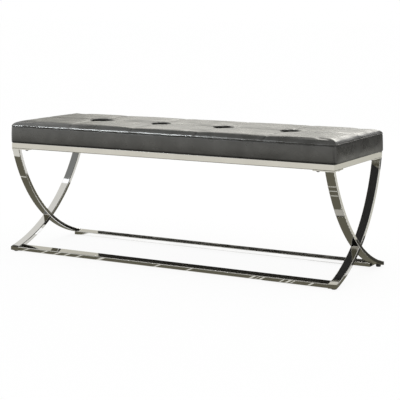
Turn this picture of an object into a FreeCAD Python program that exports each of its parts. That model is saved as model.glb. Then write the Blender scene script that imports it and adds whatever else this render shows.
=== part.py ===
import FreeCAD, Part
import math
import os

# A padded bench on a chrome base of crossed, curved legs.
# Millimetres. X runs along the seat, Y from front to back, Z up from the floor.
# The origin is on the floor under the middle of the seat.

os.makedirs("parts", exist_ok=True)
Vector = FreeCAD.Vector
origin = Vector(0, 0, 0)
along_x = Vector(1, 0, 0)
along_y = Vector(0, 1, 0)
along_z = Vector(0, 0, 1)

# Cushion: a boxed pad of panels, sewn in rows and columns, with a tuft at each inner crossing
seat_length = 1200.0
seat_depth = 400.0
side_height = 71.0
panel_columns = 5
panel_rows = 2
panel_crown = 2.5
seam_crown = 0.5
corner_radius = 16.0
top_edge_radius = 12.0
bottom_edge_radius = 5.0
side_draw_in = 3.0
end_draw_in = 2.0
crown_margin = 1.0
channel_depth = 2.0
channel_radius = 7.0
cover_thickness = 1.5
top_seam_drop = 13.0
hem_width = 36.0

# Tufts
tuft_depth = 18.0
tuft_radius = 40.0
tuft_rim = 8.0
tuft_shoulder = 1.0
button_diameter = 22.0
button_rim = 2.0
button_dome = 4.0
button_clearance = 1.0
tie_diameter = 2.5
tie_clearance = 0.2
anchor_diameter = 16.0
anchor_clearance = 0.3

# Seat board, tee nuts and dust cover
board_thickness = 15.0
board_padding = 0.5
board_corner = 12.0
tee_flange_diameter = 15.0
tee_flange_thickness = 1.5
tee_barrel_diameter = 8.0
tee_bottom_gap = 3.0
tee_clearance = 0.15
dust_cover_thickness = 0.8
dust_cover_clearance = 1.0

# Seat frame: square tube, mitred at the corners
frame_height = 381.0
cushion_overhang = 3.0
top_rail_size = 20.0
tube_wall = 1.5
tube_corner = 2.0
least_inner_corner = 0.3

# Crossed legs: flat tube bent to one arc
leg_width = 30.0
leg_thickness = 13.0
leg_radius = 540.0
leg_splay = 16.0
foot_lift = 4.0
leg_sweep_margin = 6.0

# Leg plates and their bolts
plate_thickness = 3.0
plate_length = 70.0
bolt_edge_distance = 14.0
bolt_diameter = 6.0
bolt_clearance = 0.6
bolt_head_diameter = 10.5
bolt_head_height = 3.3
bolt_head_edge = 1.2
hex_key_size = 4.0
hex_key_depth = 2.0
bolt_tip_gap = 1.0
washer_diameter = 12.5
washer_thickness = 1.0
thread_clearance = 0.1

# Floor rails, end plates and glides
floor_rail_depth = 50.0
floor_rail_height = 13.0
end_plate_thickness = 1.5
glide_diameter = 16.0
glide_setback = 12.0
glide_edge_radius = 2.5
glide_stem_diameter = 6.0
glide_stem_length = 5.0
glide_clearance = 0.1

# Places worked out from those sizes
frame_length = seat_length - 2 * cushion_overhang
frame_depth = seat_depth - 2 * cushion_overhang
half_frame_length = frame_length / 2
half_frame_depth = frame_depth / 2
frame_bottom = frame_height - top_rail_size
leg_top = frame_bottom - plate_thickness
leg_middle_x = half_frame_length - leg_width / 2
foot_middle_x = leg_middle_x + leg_splay
splay_angle = math.degrees(math.atan2(leg_splay, leg_top - foot_lift))
board_bottom = frame_height + cover_thickness
board_top = board_bottom + board_thickness
seam_level = frame_height + side_height
top_seam_level = seam_level - top_seam_drop
tuft_floor = seam_level - tuft_depth
column_width = seat_length / panel_columns
row_depth = seat_depth / panel_rows
seam_columns = [column_width * i - seat_length / 2 for i in range(1, panel_columns)]
seam_rows = [row_depth * i - seat_depth / 2 for i in range(1, panel_rows)]
tuft_points = [(x, y) for x in seam_columns for y in seam_rows]
far = 2 * (seat_length + seat_depth + frame_height)


def polar(radius, degrees):
    """A point of a circle in the XY plane."""
    turn = math.radians(degrees)
    return Vector(radius * math.cos(turn), radius * math.sin(turn), 0)


def loop_face(arcs):
    """A face bounded by arcs in order, with straight edges where they don't meet."""
    edges = []
    for arc, following in zip(arcs, arcs[1:] + arcs[:1]):
        edges.append(arc.toShape())
        if not arc.EndPoint.isEqual(following.StartPoint, 1e-6):
            edges.append(Part.makeLine(arc.EndPoint, following.StartPoint))
    return Part.Face(Part.Wire(edges))


def rounded_rectangle(width, height, radius):
    """A face in the XY plane, centred on the origin."""
    arcs = []
    for quarter, (side_x, side_y) in enumerate([(1, 1), (-1, 1), (-1, -1), (1, -1)]):
        centre = Vector(side_x * (width / 2 - radius), side_y * (height / 2 - radius), 0)
        arcs.append(Part.Arc(*[centre + polar(radius, 90 * quarter + turn) for turn in (0, 45, 90)]))
    return loop_face(arcs)


def tube_faces(width, height):
    """The outer and inner sections of a tube, in the XY plane."""
    inner_corner = max(tube_corner - tube_wall, least_inner_corner)
    outer = rounded_rectangle(width, height, tube_corner)
    inner = rounded_rectangle(width - 2 * tube_wall, height - 2 * tube_wall, inner_corner)
    return outer, inner


def along_length(face, length):
    """A bar along X, centred on the origin, whose section has its width in Y and its height in Z."""
    standing = face.copy()
    standing.Placement = FreeCAD.Placement(origin, FreeCAD.Rotation(Vector(1, 1, 1), 120))
    standing.translate(Vector(-length / 2, 0, 0))
    return standing.extrude(Vector(length, 0, 0))


def prism(points, bottom, height):
    """An upright solid on a polygon of (x, y) points."""
    corners = [Vector(x, y, bottom) for x, y in points]
    return Part.Face(Part.makePolygon(corners + corners[:1])).extrude(Vector(0, 0, height))


def box(x0, x1, y0, y1, z0, z1):
    return Part.makeBox(x1 - x0, y1 - y0, z1 - z0, Vector(x0, y0, z0))


def pin(diameter, x, y, bottom, top):
    """An upright cylinder."""
    return Part.makeCylinder(diameter / 2, top - bottom, Vector(x, y, bottom))


def dome_arc(rim, base, rise):
    """Half of a round cap's outline, from its rim to its top on the upright axis."""
    radius = (rim ** 2 + rise ** 2) / (2 * abs(rise))
    centre_z = base + rise - math.copysign(radius, rise)
    half_turn = math.asin(rim / radius) / 2
    middle = Vector(radius * math.sin(half_turn), 0,
                    centre_z + math.copysign(radius * math.cos(half_turn), rise))
    return Part.Arc(Vector(rim, 0, base), middle, Vector(0, 0, base + rise)).toShape()


def mirrored(shape, normal):
    return shape.mirror(origin, normal)


def turned(shape, degrees):
    """A copy turned about the upright axis through the origin."""
    copy = shape.copy()
    copy.rotate(origin, along_z, degrees)
    return copy


def moved(shape, x, y, z):
    copy = shape.copy()
    copy.translate(Vector(x, y, z))
    return copy


# The seat frame's four rails

def bolt_points():
    """The middle of each bolt: two under every corner, one on each rail that meets there."""
    from_corner = plate_length - bolt_edge_distance
    inset = top_rail_size / 2
    points = []
    for side_x in (-1, 1):
        for side_y in (-1, 1):
            for in_x, in_y in ((from_corner, inset), (inset, from_corner)):
                points.append((side_x * (half_frame_length - in_x), side_y * (half_frame_depth - in_y)))
    return points


def bolt_holes(diameter, bottom, top):
    return [pin(diameter, x, y, bottom, top) for x, y in bolt_points()]


def top_rail(length):
    """A mitred rail along X with its outer face towards -Y, centred on the origin."""
    outer, inner = tube_faces(top_rail_size, top_rail_size)
    tube = along_length(outer, length).cut(along_length(inner, length))
    half = top_rail_size / 2
    long_side = length / 2
    short_side = long_side - top_rail_size
    mitred = prism([(-long_side, -half), (long_side, -half), (short_side, half), (-short_side, half)],
                   -half, top_rail_size)
    return tube.common(mitred)


def seat_frame():
    rails = {}
    placed = [("front_top_rail", frame_length, half_frame_depth, 0),
              ("right_top_rail", frame_depth, half_frame_length, 90),
              ("rear_top_rail", frame_length, half_frame_depth, 180),
              ("left_top_rail", frame_depth, half_frame_length, 270)]
    holes = bolt_holes(bolt_diameter + 2 * bolt_clearance, frame_bottom - 1, frame_height + 1)
    for name, length, out, degrees in placed:
        rail = moved(top_rail(length), 0, top_rail_size / 2 - out, frame_height - top_rail_size / 2)
        rails[name] = turned(rail, degrees).cut(holes)
    return rails


# The crossed legs of one end

def splayed(shape):
    """The right end's leg plane leans out, about the frame's lower end edge, so that its feet stand wider."""
    leaning = shape.copy()
    leaning.rotate(Vector(half_frame_length, 0, leg_top), along_y, -splay_angle)
    return leaning


def leg_arc():
    """The centre (y, z) of the long leg's arc, and the turns of its foot and its top from straight down."""
    foot = Vector(half_frame_depth, foot_lift, 0)
    top = Vector(-half_frame_depth, leg_top, 0)
    chord = top - foot
    half_chord = chord.Length / 2
    rise = math.sqrt(leg_radius ** 2 - half_chord ** 2)
    normal = Vector(chord.y, -chord.x, 0).normalize()
    centre = foot + chord * 0.5 + normal * rise
    turns = [math.degrees(math.atan2(p.x - centre.x, centre.y - p.y)) for p in (foot, top)]
    return centre, turns[0], turns[1]


def bent_bar(face):
    """The long leg's arc swept by a section and leant out, cut level at the top and upright at the foot."""
    centre, foot_turn, top_turn = leg_arc()
    axis_point = Vector(leg_middle_x, centre.x, centre.y)
    standing = face.copy()
    standing.rotate(origin, along_x, 90)
    standing.translate(axis_point - along_z * (leg_radius - leg_thickness / 2))
    standing.rotate(axis_point, along_x, foot_turn + leg_sweep_margin)
    swept = standing.revolve(axis_point, along_x, top_turn - foot_turn - 2 * leg_sweep_margin)
    return splayed(swept).common(box(0, far, -far, half_frame_depth, -far, leg_top))


def arc_roller(radius):
    """A cylinder about the long leg's arc: a leg that crosses it is coped to its inner or its outer face."""
    centre, foot_turn, top_turn = leg_arc()
    return splayed(Part.makeCylinder(radius, 2 * far, Vector(-far, centre.x, centre.y), along_x))


def glide(leg_outside):
    """A moulded glide under the long leg's foot: flat below, cut to the leg's slope above."""
    x = foot_middle_x
    y = half_frame_depth - glide_setback
    centre, foot_turn, top_turn = leg_arc()
    leg_underside = centre.y - math.sqrt(leg_radius ** 2 - (centre.x - y) ** 2)
    head = pin(glide_diameter, x, y, 0, leg_underside + glide_diameter / 2)
    rim = [edge for edge in head.Edges if edge.BoundBox.ZMax < 1e-6]
    head = head.makeFillet(min(glide_edge_radius, foot_lift * 0.9), rim).cut(leg_outside)
    head = [solid for solid in head.Solids if solid.BoundBox.ZMin < 1e-6][0]
    stem_top = leg_underside + glide_stem_length
    stem = pin(glide_stem_diameter, x, y, foot_lift / 2, stem_top)
    hole = pin(glide_stem_diameter + 2 * glide_clearance, x, y, 0, stem_top)
    return head.fuse(stem).removeSplitter(), hole


def leg_set():
    """The right end's legs, foot plates and glides."""
    outer, inner = tube_faces(leg_width, leg_thickness)
    solid_leg = bent_bar(outer)
    bore = bent_bar(inner)
    rear_glide, glide_hole = glide(solid_leg)
    long_leg = solid_leg.cut(bore).cut(glide_hole)
    foot_slab = box(0, far, half_frame_depth - end_plate_thickness, half_frame_depth, -far, far)
    foot_plate = bore.common(foot_slab)
    crossing_leg = mirrored(long_leg, along_y)
    lower = crossing_leg.cut(arc_roller(leg_radius))
    upper = crossing_leg.common(arc_roller(leg_radius - leg_thickness))
    return {"long_leg": long_leg, "upper_half_leg": upper, "lower_half_leg": lower,
            "rear_foot": foot_plate, "front_foot": mirrored(foot_plate, along_y),
            "rear_glide": rear_glide, "front_glide": mirrored(rear_glide, along_y)}


def base():
    """Both ends' legs and glides, and the foot plates as one group."""
    right = leg_set()
    left = {name: mirrored(shape, along_x) for name, shape in right.items()}
    pieces = {}
    foot_plates = []
    for side, legs in (("left", left), ("right", right)):
        for name in ("long_leg", "upper_half_leg", "lower_half_leg"):
            pieces[f"{side}_{name}"] = legs[name]
        for end in ("front", "rear"):
            pieces[f"{end}_{side}_glide"] = legs[f"{end}_glide"]
            foot_plates.append(legs[f"{end}_foot"])
    pieces["foot_end_plates"] = Part.makeCompound(foot_plates)
    return pieces


def floor_rails():
    """The two flat rails between the legs, closed by a plate at each end that meets the leaning leg."""
    outer, inner = tube_faces(floor_rail_depth, floor_rail_height)
    rail_y = half_frame_depth - floor_rail_depth / 2
    rail_z = foot_lift + floor_rail_height / 2
    beside_leg = splayed(box(half_frame_length - leg_width, far, -far, far, -far, far))
    bar = along_length(outer, far).common(box(0, far, -far, far, -far, far))
    reach = moved(bar, 0, rail_y, rail_z).cut(beside_leg)
    plate_start = reach.BoundBox.XMax - leg_splay * floor_rail_height / (leg_top - foot_lift) - end_plate_thickness
    tube = along_length(outer, 2 * plate_start).cut(along_length(inner, 2 * plate_start))
    rear_right = reach.common(box(plate_start, far, -far, far, -far, far))
    rear_left = mirrored(rear_right, along_x)
    plates = [rear_right, rear_left, mirrored(rear_right, along_y), mirrored(rear_left, along_y)]
    return {"front_floor_rail": moved(tube, 0, -rail_y, rail_z),
            "rear_floor_rail": moved(tube, 0, rail_y, rail_z),
            "floor_rail_end_plates": Part.makeCompound(plates)}


# Leg plates and fasteners

def leg_plates():
    """A gusset under each corner of the seat frame, as wide as the rails at its two ends."""
    long_end = half_frame_length - plate_length
    deep_end = half_frame_depth - plate_length
    long_wing = half_frame_length - top_rail_size
    deep_wing = half_frame_depth - top_rail_size
    outline = [(half_frame_length, half_frame_depth), (long_end, half_frame_depth), (long_end, deep_wing),
               (long_wing, deep_end), (half_frame_length, deep_end)]
    holes = bolt_holes(bolt_diameter + 2 * bolt_clearance, leg_top - 1, frame_bottom + 1)
    plates = {}
    for end, side_y in (("front", -1), ("rear", 1)):
        for side, side_x in (("left", -1), ("right", 1)):
            corner = [(side_x * x, side_y * y) for x, y in outline]
            plates[f"{end}_{side}_leg_plate"] = prism(corner, leg_top, plate_thickness).cut(holes)
    return plates


def bolt():
    """A button-head bolt on the upright axis, its head's seat at the origin and its shank upwards."""
    shank_length = board_top - bolt_tip_gap - leg_top + washer_thickness
    shank = pin(bolt_diameter, 0, 0, 0, shank_length)
    rim = bolt_head_diameter / 2
    crown = dome_arc(rim, -bolt_head_edge, bolt_head_edge - bolt_head_height)
    corners = [Vector(0, 0, -bolt_head_height), origin, Vector(rim, 0, 0), Vector(rim, 0, -bolt_head_edge)]
    sides = [Part.makeLine(a, b) for a, b in zip(corners, corners[1:])]
    head = Part.Face(Part.Wire([crown] + sides)).revolve(origin, along_z, 360)
    across_corners = hex_key_size / math.cos(math.radians(30))
    key = [polar(across_corners / 2, 60 * i) for i in range(6)]
    socket = prism([(p.x, p.y) for p in key], -2 * bolt_head_height, bolt_head_height + hex_key_depth)
    return shank.fuse(head).cut(socket).removeSplitter()


def washer():
    ring = pin(washer_diameter, 0, 0, 0, washer_thickness)
    return ring.cut(pin(bolt_diameter + 2 * bolt_clearance, 0, 0, -1, washer_thickness + 1))


def tee_nut():
    """A flanged nut on the upright axis, the top of its flange at the origin and its barrel down."""
    barrel_bottom = tee_bottom_gap - board_thickness
    flange = pin(tee_flange_diameter, 0, 0, -tee_flange_thickness, 0)
    barrel = pin(tee_barrel_diameter, 0, 0, barrel_bottom, 0)
    bore = pin(bolt_diameter + 2 * thread_clearance, 0, 0, barrel_bottom - 1, 1)
    return flange.fuse(barrel).cut(bore).removeSplitter()


def fasteners():
    def group(shape, height):
        return Part.makeCompound([moved(shape, x, y, height) for x, y in bolt_points()])

    return {"leg_plate_bolts": group(bolt(), leg_top - washer_thickness),
            "leg_plate_washers": group(washer(), leg_top - washer_thickness),
            "tee_nuts": group(tee_nut(), board_top)}


# The cushion

def drawn_in_outline(half_length, half_depth, radius):
    """A rectangle with round corners whose sides bow in between them, as one smooth loop."""
    centre_x = half_length - radius
    centre_y = half_depth - radius
    long_bow = (centre_x ** 2 + side_draw_in ** 2) / (2 * side_draw_in) - radius
    short_bow = (centre_y ** 2 + end_draw_in ** 2) / (2 * end_draw_in) - radius
    long_lean = math.degrees(math.asin(centre_x / (long_bow + radius)))
    short_lean = math.degrees(math.asin(centre_y / (short_bow + radius)))
    corners = [(1, 1, 0, -short_lean, 90 + long_lean), (-1, 1, 90, -long_lean, 90 + short_lean),
               (-1, -1, 180, -short_lean, 90 + long_lean), (1, -1, 270, -long_lean, 90 + short_lean)]
    middles = [Vector(0, half_depth - side_draw_in, 0), Vector(end_draw_in - half_length, 0, 0),
               Vector(0, side_draw_in - half_depth, 0), Vector(half_length - end_draw_in, 0, 0)]
    rounds = []
    for side_x, side_y, start, first, last in corners:
        centre = Vector(side_x * centre_x, side_y * centre_y, 0)
        turns = (first, (first + last) / 2, last)
        rounds.append(Part.Arc(*[centre + polar(radius, start + turn) for turn in turns]))
    arcs = []
    for corner, middle, following in zip(rounds, middles, rounds[1:] + rounds[:1]):
        arcs += [corner, Part.Arc(corner.EndPoint, middle, following.StartPoint)]
    return loop_face(arcs)


def boxed_pad(inset):
    """The pad below its crown: drawn-in sides, and round edges above and below."""
    bottom = frame_height + inset
    face = drawn_in_outline(seat_length / 2 - inset, seat_depth / 2 - inset, corner_radius - inset)
    face.translate(Vector(0, 0, bottom))
    pad = face.extrude(Vector(0, 0, seam_level - inset - bottom))
    top_edges = [edge for edge in pad.Edges if edge.BoundBox.ZMin > seam_level - inset - 0.01]
    pad = pad.makeFillet(top_edge_radius - inset, top_edges)
    bottom_edges = [edge for edge in pad.Edges if edge.BoundBox.ZMax < bottom + 0.01]
    return pad.makeFillet(bottom_edge_radius - inset, bottom_edges)


def crown_section(x, crown, half_depth, level):
    """A closed section across the seat, with one arc for each row of panels."""
    root = level - top_edge_radius
    step = 2 * half_depth / panel_rows
    starts = [step * i - half_depth for i in range(panel_rows)]
    arcs = []
    for y in starts:
        arcs.append(Part.Arc(Vector(x, y, level), Vector(x, y + step / 2, level + crown),
                             Vector(x, y + step, level)).toShape())
    corners = [Vector(x, half_depth, level), Vector(x, half_depth, root),
               Vector(x, -half_depth, root), Vector(x, -half_depth, level)]
    sides = [Part.makeLine(a, b) for a, b in zip(corners, corners[1:])]
    return Part.Wire(arcs + sides)


def crowned_columns(inset):
    """One pillow for each column of panels, low at its seams and full in its middle."""
    half_length = seat_length / 2 - top_edge_radius - end_draw_in - crown_margin
    half_depth = seat_depth / 2 - top_edge_radius - side_draw_in - crown_margin
    level = seam_level - inset
    bounds = [-half_length] + seam_columns + [half_length]
    columns = []
    for start, end in zip(bounds, bounds[1:]):
        stations = [(start, seam_crown), ((start + end) / 2, panel_crown), (end, seam_crown)]
        sections = [crown_section(x, crown, half_depth, level) for x, crown in stations]
        columns.append(Part.makeLoft(sections, True, False))
    return columns


def channels(inset):
    """A sewn groove along every seam of the top."""
    level = seam_level + channel_radius - channel_depth
    radius = channel_radius + inset
    grooves = []
    for x in seam_columns:
        grooves.append(Part.makeCylinder(radius, 2 * seat_depth, Vector(x, -seat_depth, level), along_y))
    for y in seam_rows:
        grooves.append(Part.makeCylinder(radius, 2 * seat_length, Vector(-seat_length, y, level), along_x))
    return grooves


def tuft_pits(inset):
    """A pit at each tuft: a flat floor for the button, a steep wall and a round rim."""
    floor_radius = button_diameter / 2 + button_clearance
    rim_z = seam_level + tuft_shoulder - tuft_rim
    across = tuft_radius - floor_radius
    slope = math.atan2(rim_z - tuft_floor, across) + math.asin(tuft_rim / math.hypot(across, rim_z - tuft_floor))
    radius = tuft_rim - inset
    floor_z = tuft_floor - inset
    top_z = seam_level + panel_crown + tuft_radius

    def on_rim(turn):
        return Vector(tuft_radius - radius * math.sin(turn), 0, rim_z + radius * math.cos(turn))

    rim = Part.Arc(on_rim(slope), on_rim(slope / 2), on_rim(0))
    floor_edge = rim.StartPoint.x - (rim.StartPoint.z - floor_z) / math.tan(slope)
    corners = [rim.EndPoint, Vector(tuft_radius, 0, top_z), Vector(0, 0, top_z), Vector(0, 0, floor_z),
               Vector(floor_edge, 0, floor_z), rim.StartPoint]
    sides = [Part.makeLine(a, b) for a, b in zip(corners, corners[1:])]
    pit = Part.Face(Part.Wire([rim.toShape()] + sides)).revolve(origin, along_z, 360)
    return [moved(pit, x, y, 0) for x, y in tuft_points]


def cushion_form(inset):
    """The whole pad, drawn in by an inset on every side."""
    form = boxed_pad(inset).fuse(crowned_columns(inset)).removeSplitter()
    return form.cut(channels(inset)).cut(tuft_pits(inset))


def tie_holes(bottom, top):
    return [pin(tie_diameter + 2 * tie_clearance, x, y, bottom, top) for x, y in tuft_points]


def seat_board():
    """The plain board, its lower edges eased so that the cover turns over them."""
    side_gap = side_draw_in + cover_thickness + board_padding
    end_gap = end_draw_in + cover_thickness + board_padding
    face = rounded_rectangle(seat_length - 2 * end_gap, seat_depth - 2 * side_gap, board_corner)
    face.translate(Vector(0, 0, board_bottom))
    board = face.extrude(Vector(0, 0, board_thickness))
    lower_edges = [edge for edge in board.Edges if edge.BoundBox.ZMax < board_bottom + 0.01]
    return board.makeFillet(bottom_edge_radius - cover_thickness, lower_edges)


def button():
    """A covered button on the upright axis, standing on the origin."""
    rim = button_diameter / 2
    dome = dome_arc(rim, button_rim, button_dome)
    corners = [Vector(0, 0, button_rim + button_dome), origin, Vector(rim, 0, 0), Vector(rim, 0, button_rim)]
    sides = [Part.makeLine(a, b) for a, b in zip(corners, corners[1:])]
    return Part.Face(Part.Wire([dome] + sides)).revolve(origin, along_z, 360)


def cushion():
    outside = cushion_form(0)
    inside = cushion_form(cover_thickness)
    plain_board = seat_board()
    foam = inside.cut(plain_board).cut(tie_holes(board_top - 1, seam_level))
    barrel_holes = bolt_holes(tee_barrel_diameter + 2 * tee_clearance, board_bottom - 1, board_top + 1)
    flange_seats = bolt_holes(tee_flange_diameter + 2 * tee_clearance, board_top - tee_flange_thickness,
                              board_top + 1)
    board = plain_board.cut(barrel_holes + flange_seats).cut(tie_holes(board_bottom - 1, board_top + 1))
    hem_edge_x = seat_length / 2 - hem_width
    hem_edge_y = seat_depth / 2 - hem_width
    hem_opening = box(-hem_edge_x, hem_edge_x, -hem_edge_y, hem_edge_y, frame_height - 1, board_bottom + 1)
    hem_holes = bolt_holes(tee_barrel_diameter, frame_height - 1, board_bottom + 1)
    cover = outside.cut(inside).cut([hem_opening] + hem_holes)
    cover = cover.cut(tie_holes(tuft_floor - 2 * cover_thickness, tuft_floor + 1))
    pits = box(-hem_edge_x, hem_edge_x, -hem_edge_y, hem_edge_y, board_top, seam_level)
    sides = box(-far, far, -far, far, -far, top_seam_level).cut(pits)
    dust_x = half_frame_length - top_rail_size - dust_cover_clearance
    dust_y = half_frame_depth - top_rail_size - dust_cover_clearance
    dust_cover = box(-dust_x, dust_x, -dust_y, dust_y, frame_height - dust_cover_thickness, frame_height)
    anchor_bottom = frame_height + anchor_clearance
    ties = [pin(tie_diameter, x, y, board_bottom, tuft_floor) for x, y in tuft_points]
    anchors = [pin(anchor_diameter, x, y, anchor_bottom, board_bottom) for x, y in tuft_points]
    buttons = [moved(button(), x, y, tuft_floor) for x, y in tuft_points]
    return {"seat_top_cover": cover.cut(sides), "seat_side_cover": cover.common(sides),
            "seat_foam": foam, "seat_board": board, "dust_cover": dust_cover,
            "tuft_buttons": Part.makeCompound(buttons), "tuft_ties": Part.makeCompound(ties),
            "tuft_anchors": Part.makeCompound(anchors)}


for pieces in (seat_frame(), base(), floor_rails(), leg_plates(), fasteners(), cushion()):
    for name, shape in pieces.items():
        shape.exportStep(f"parts/{name}.step")
        size = shape.optimalBoundingBox(False)
        print(f"{name}: {len(shape.Solids)} solid(s), valid {shape.isValid()}, {shape.Volume / 1000:.2f} cm3, "
              f"{size.XLength:.1f} x {size.YLength:.1f} x {size.ZLength:.1f} mm, top {size.ZMax:.2f}")
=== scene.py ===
# %% [markdown]
# A bench with a long padded seat and a chrome base. The solids of its frame, legs and fastenings come
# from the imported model, in metres, and stay where they are. This lesson gives them finishes, and sews the
# soft seat anew, because leather over foam is never as even as a solid.

# %% Load the frame
import math
import bmesh
import bpy
import numpy as np
from mathutils import Matrix, Vector, noise
from mathutils.bvhtree import BVHTree


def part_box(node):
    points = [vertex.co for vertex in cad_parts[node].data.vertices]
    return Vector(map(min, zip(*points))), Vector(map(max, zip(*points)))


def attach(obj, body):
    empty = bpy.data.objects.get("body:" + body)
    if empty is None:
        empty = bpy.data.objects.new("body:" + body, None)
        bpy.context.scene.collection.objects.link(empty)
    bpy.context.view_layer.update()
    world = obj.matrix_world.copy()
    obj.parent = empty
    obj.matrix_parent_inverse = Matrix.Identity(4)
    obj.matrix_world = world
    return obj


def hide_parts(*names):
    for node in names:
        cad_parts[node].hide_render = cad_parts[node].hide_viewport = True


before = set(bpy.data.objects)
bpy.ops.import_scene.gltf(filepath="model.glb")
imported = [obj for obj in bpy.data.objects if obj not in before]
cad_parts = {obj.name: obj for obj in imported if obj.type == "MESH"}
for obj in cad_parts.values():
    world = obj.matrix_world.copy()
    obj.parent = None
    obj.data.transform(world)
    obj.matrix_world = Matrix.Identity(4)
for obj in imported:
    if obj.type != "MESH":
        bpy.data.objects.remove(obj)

scene = bpy.context.scene
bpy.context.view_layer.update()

# %% [markdown]
# The camera stands right of the bench and a little above it, far away with a long lens, so the near end
# looks only slightly larger than the far end. Its place was worked out from the corners of the seat
# frame, the feet and the cushion.

# %% Camera
camera = bpy.data.objects.new("camera", bpy.data.cameras.new("camera"))
scene.collection.objects.link(camera)
look_down = 0.161
turn_left = 0.509
camera.location = (2.0227, -3.5683, 0.8661)
camera.rotation_euler = (math.pi / 2 - look_down, 0, turn_left)
camera.data.sensor_width = 36
camera.data.lens = 111.4
scene.camera = camera
scene.view_settings.view_transform = "Standard"
print("camera", tuple(camera.location), "lens", camera.data.lens)

# %% [markdown]
# Chrome has no colour of its own to speak of: it shows the room. So the room matters as much as the
# metal. Here it is a plain white world with a pale floor. The floor gives off most of its own light,
# which keeps it even and leaves only a soft shadow under the bench.

# %% The white room
def emission_of(material, colour):
    """A node that gives off one even colour."""
    glow = material.node_tree.nodes.new("ShaderNodeEmission")
    glow.inputs["Color"].default_value = (*colour, 1)
    return glow


def blank_material(name):
    """A material with nothing but its output."""
    material = bpy.data.materials.new(name)
    material.use_nodes = True
    material.node_tree.nodes.clear()
    output = material.node_tree.nodes.new("ShaderNodeOutputMaterial")
    return material, output


room = bpy.data.worlds.new("white_room")
room.use_nodes = True
scene.world = room
sky = room.node_tree.nodes["Background"]
sky.inputs["Color"].default_value = (1, 1, 1, 1)
sky.inputs["Strength"].default_value = 1.0


def stage_plane(name, corners, material):
    """A four-cornered sheet of the studio, not part of the bench."""
    mesh = bpy.data.meshes.new(name)
    mesh.from_pydata(corners, [], [(0, 1, 2, 3)])
    mesh.materials.append(material)
    plane = bpy.data.objects.new(name, mesh)
    scene.collection.objects.link(plane)
    return plane


floor_paint, floor_output = blank_material("pale_floor")
tree = floor_paint.node_tree
matt = tree.nodes.new("ShaderNodeBsdfDiffuse")
matt.inputs["Color"].default_value = (0.97, 0.97, 0.97, 1)
even = emission_of(floor_paint, (1, 1, 1))
both = tree.nodes.new("ShaderNodeMixShader")
both.inputs["Fac"].default_value = 0.9
tree.links.new(matt.outputs[0], both.inputs[1])
tree.links.new(even.outputs[0], both.inputs[2])
tree.links.new(both.outputs[0], floor_output.inputs["Surface"])
wide = 40.0
corners = [(-wide, -wide, 0), (wide, -wide, 0), (wide, wide, 0), (-wide, wide, 0)]
stage_plane("floor", corners, floor_paint)
print("floor of", 2 * wide, "metres in a white room")

# %% [markdown]
# A photographer gives chrome its dark bands with cards just outside the picture, and so does this room.
# The cards are plain sheets that only mirrors see: they cast no light and no shadow. Dim and dark ones
# lie on the floor for the legs and rails, and thin pale ones on top of them draw bright lines. A black
# and a grey one hang high in front, warm ones stand behind, and dim ones overhead darken the roll of the
# leather. On the floor they lie in three layers a fraction of a millimetre apart, so that one can cover
# another.

# %% Studio cards that only mirrors see
def mirror_card(name, corners, colour):
    """A card that shows in reflections and nowhere else."""
    paint, output = blank_material(name)
    glow = emission_of(paint, colour)
    paint.node_tree.links.new(glow.outputs[0], output.inputs["Surface"])
    card = stage_plane(name, corners, paint)
    card.visible_camera = False
    card.visible_diffuse = False
    card.visible_shadow = False
    card.visible_transmission = False
    card.visible_volume_scatter = False


def floor_card(name, x0, x1, y0, y1, z, colour):
    """A card that lies flat at height z."""
    mirror_card(name, [(x0, y0, z), (x1, y0, z), (x1, y1, z), (x0, y1, z)], colour)


def upright_card(name, x0, x1, y, z0, z1, colour):
    """A card that stands across the depth y."""
    mirror_card(name, [(x0, y, z0), (x1, y, z0), (x1, y, z1), (x0, y, z1)], colour)


first_layer = 0.0006
second_layer = 0.0009
third_layer = 0.0012
ceiling_height = 1.6
dim = (0.17, 0.163, 0.125)
pale_line = (1, 1, 0.97)
floor_card("dim_floor_card", -2.2, 1.6, -1.7, -0.202, first_layer, dim)
floor_card("dim_left_card", -1.0, -0.57, -0.202, 0.35, first_layer, dim)
floor_card("dim_right_card", 0.36, 0.68, -0.202, 0.35, first_layer, dim)
floor_card("dim_back_card", -0.6, 0.75, 0.36, 0.95, first_layer, dim)
floor_card("dark_leg_card", -0.6, -0.28, 0.225, 0.36, first_layer, (0.05, 0.048, 0.042))
floor_card("dark_corner_card", 1.6, 4.5, -3.5, -0.6, second_layer, (0.01, 0.01, 0.01))
floor_card("dark_rear_foot_card", 0.62, 0.92, 0.2, 0.8, second_layer, (0.06, 0.058, 0.05))
floor_card("bright_middle_card", -0.56, 0.5, 0.05, 0.145, second_layer, (1.6, 1.63, 1.72))
floor_card("dim_middle_card", -0.42, 0.36, -0.1, 0.147, first_layer, (0.1, 0.1, 0.09))
floor_card("warm_floor_card", -9, 6, -9, -1.7, first_layer, (0.98, 0.96, 0.9))
floor_card("warm_back_card", 0.9, 7, 0.5, 3.1, first_layer, (0.8, 0.79, 0.72))
floor_card("dim_far_card", 0.9, 7, 3.1, 9, first_layer, (0.04, 0.04, 0.036))
upright_card("black_front_card", -1.9, 4.5, -3.0, 1.8, 5.0, (0.008, 0.008, 0.008))
upright_card("grey_left_card", -4.9, -2.4, -3.0, 2.2, 6.1, (0.3, 0.31, 0.32))
upright_card("left_spot_card", -5.6, -4.2, -3.05, 6.1, 7.2, (1.7, 1.75, 1.9))
upright_card("low_rear_card", -1.02, 0.3, 0.95, 0.185, 0.35, (0.02, 0.019, 0.016))
upright_card("grey_end_card", 1.15, 8.0, 3.4, 0.06, 2.2, (0.04, 0.04, 0.036))
upright_card("warm_left_card", -9.0, -2.4, 3.4, 0.0, 3.2, (0.66, 0.645, 0.58))
upright_card("warm_middle_card", -2.4, 0.2, 3.4, 0.0, 3.2, (0.85, 0.835, 0.77))
ceiling = (0.03, 0.03, 0.028)
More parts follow.
